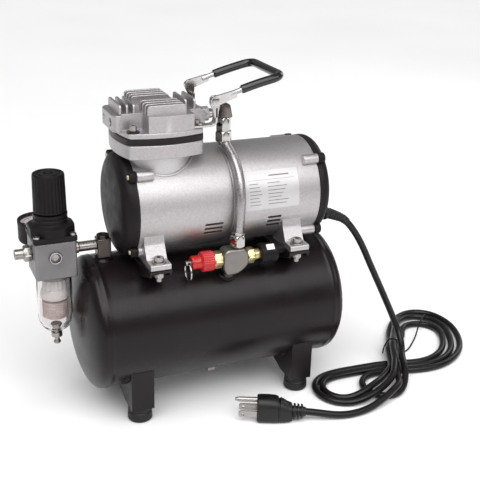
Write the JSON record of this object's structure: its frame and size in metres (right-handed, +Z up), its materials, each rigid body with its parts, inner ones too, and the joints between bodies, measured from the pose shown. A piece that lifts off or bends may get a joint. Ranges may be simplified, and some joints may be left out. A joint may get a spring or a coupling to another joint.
{
  "type": "airbrush compressor",
  "caption": "Oil-free piston compressor on a small air tank with filter regulator, gauge, relief valve, carrying handle, rubber feet and a hanked mains cord with plug.",
  "frame": {"origin": "on the floor, under the middle of the machine's box without its free cord", "axes": "+X along the tank from the regulator to the cord end, +Y from the front with the relief valve to the back, +Z up"},
  "size_m": [0.4842, 0.1838, 0.316],
  "materials": {
    "black_paint": "gloss black powder coat over steel",
    "silver_casting": "satin silver paint on die-cast aluminium",
    "grey_casting": "satin grey paint on die-cast metal",
    "black_plastic": "moulded black plastic, slight sheen",
    "black_rubber": "black rubber",
    "cord_rubber": "smooth black jacket of a mains cord",
    "plug_rubber": "moulded black plug, fine matt grain",
    "red_plastic": "moulded red plastic",
    "clear_plastic": "clear polycarbonate",
    "white_plastic": "white moulded plastic and filter felt",
    "chrome": "bright plated steel",
    "dark_nickel": "dark nickel plated brass",
    "braided_hose": "bright braid under a clear sleeve",
    "brass": "turned brass",
    "steel": "machined or plated steel",
    "copper": "enamelled copper windings on laminated steel"
  },
  "bodies": {
    "base": {"tank_shell": "black_paint", "tank_drain_plug": "brass", "leg_bracket_left": "black_paint", "leg_bracket_right": "black_paint", "foot_front_left": "black_rubber", "foot_front_right": "black_rubber", "foot_rear_left": "black_rubber", "foot_rear_right": "black_rubber", "mount_bracket_left": "black_paint", "mount_bracket_right": "black_paint", "crankcase": "silver_casting", "motor_housing": "silver_casting", "end_cap_left": "black_plastic", "end_cap_right": "black_plastic", "power_switch": "black_plastic", "stator": "copper", "bearing_left": "steel", "bearing_right": "steel", "valve_plate": "black_paint", "cylinder_head": "silver_casting", "outlet_nipple": "chrome", "outlet_elbow": "dark_nickel", "delivery_hose": "braided_hose", "handle_bracket_front": "chrome", "handle_bracket_rear": "chrome", "manifold_block": "grey_casting", "switch_adapter": "brass", "pressure_switch": "black_plastic", "relief_valve_body": "brass", "relief_valve_cap": "red_plastic", "tank_outlet_elbow": "dark_nickel", "regulator_inlet_pipe": "chrome", "regulator_body": "grey_casting", "regulator_bonnet": "black_plastic", "filter_bowl": "clear_plastic", "filter_element": "white_plastic", "gauge_case": "black_plastic", "outlet_fitting": "chrome", "cord_gland": "black_rubber", "cord_lead": "cord_rubber", "cord_hank": "cord_rubber", "cord_tail": "cord_rubber", "plug_body": "plug_rubber", "plug_blade_live": "steel", "plug_blade_neutral": "steel", "plug_ground_pin": "steel"},
    "rotor_shaft": {"rotor": "steel", "fan_left": "black_plastic", "fan_right": "black_plastic", "eccentric": "steel"},
    "connecting_rod": {"piston_rod": "silver_casting"},
    "handle": {"handle_bail": "chrome", "handle_grip": "black_rubber"},
    "pressure_screw": {"adjusting_screw": "steel"},
    "knob": {"regulator_knob": "black_plastic"},
    "relief_plunger": {"relief_stem": "steel"},
    "pull_ring": {"relief_ring": "chrome"},
    "needle": {"gauge_needle": "black_plastic"},
    "drain_valve": {"bowl_drain": "steel"},
    "rocker": {"power_rocker": "black_plastic"}
  },
  "joints": [
    {"name": "rotor_spin", "type": "hinge", "parent": "base", "child": "rotor_shaft", "pos_m": [0.02425, -0.002, 0.1992], "axis": [1, 0, 0], "continuous": true},
    {"name": "rod_swing", "type": "hinge", "parent": "rotor_shaft", "child": "connecting_rod", "pos_m": [-0.02525, -0.002, 0.1942], "axis": [1, 0, 0], "continuous": true},
    {"name": "handle_swing", "type": "hinge", "parent": "base", "child": "handle", "pos_m": [0.01825, -0.002, 0.2943], "axis": [0, -1, 0], "range_deg": [-58, 140]},
    {"name": "pressure_turn", "type": "hinge", "parent": "base", "child": "pressure_screw", "pos_m": [-0.12175, -0.002, 0.2], "axis": [0, 0, -1], "range_deg": [0, 1440]},
    {"name": "knob_pull", "type": "slide", "parent": "pressure_screw", "child": "knob", "axis": [0, 0, 1], "range_m": [0, 0.0035]},
    {"name": "relief_pull", "type": "slide", "parent": "base", "child": "relief_plunger", "axis": [-1, 0, 0], "range_m": [0, 0.0025], "stiffness_N_per_m": 800},
    {"name": "ring_swing", "type": "hinge", "parent": "relief_plunger", "child": "pull_ring", "pos_m": [-0.01125, -0.051, 0.153], "axis": [0, 1, 0], "range_deg": [-5, 95]},
    {"name": "needle_turn", "type": "hinge", "parent": "base", "child": "needle", "pos_m": [-0.12325, 0.045, 0.1715], "axis": [0, 0, -1], "range_deg": [0, 270], "stiffness_Nm_per_rad": 0.0001},
    {"name": "drain_push", "type": "slide", "parent": "base", "child": "drain_valve", "axis": [0, 0, 1], "range_m": [0, 0.002], "stiffness_N_per_m": 300, "springref_m": -0.001},
    {"name": "rocker_tilt", "type": "hinge", "parent": "base", "child": "rocker", "pos_m": [0.13175, 0.013, 0.206], "axis": [0, 1, 0], "range_deg": [-20, 0]}
  ],
  "couplings": [
    {"joint": "rod_swing", "follows": "rotor_spin", "ratio": -1}
  ]
}
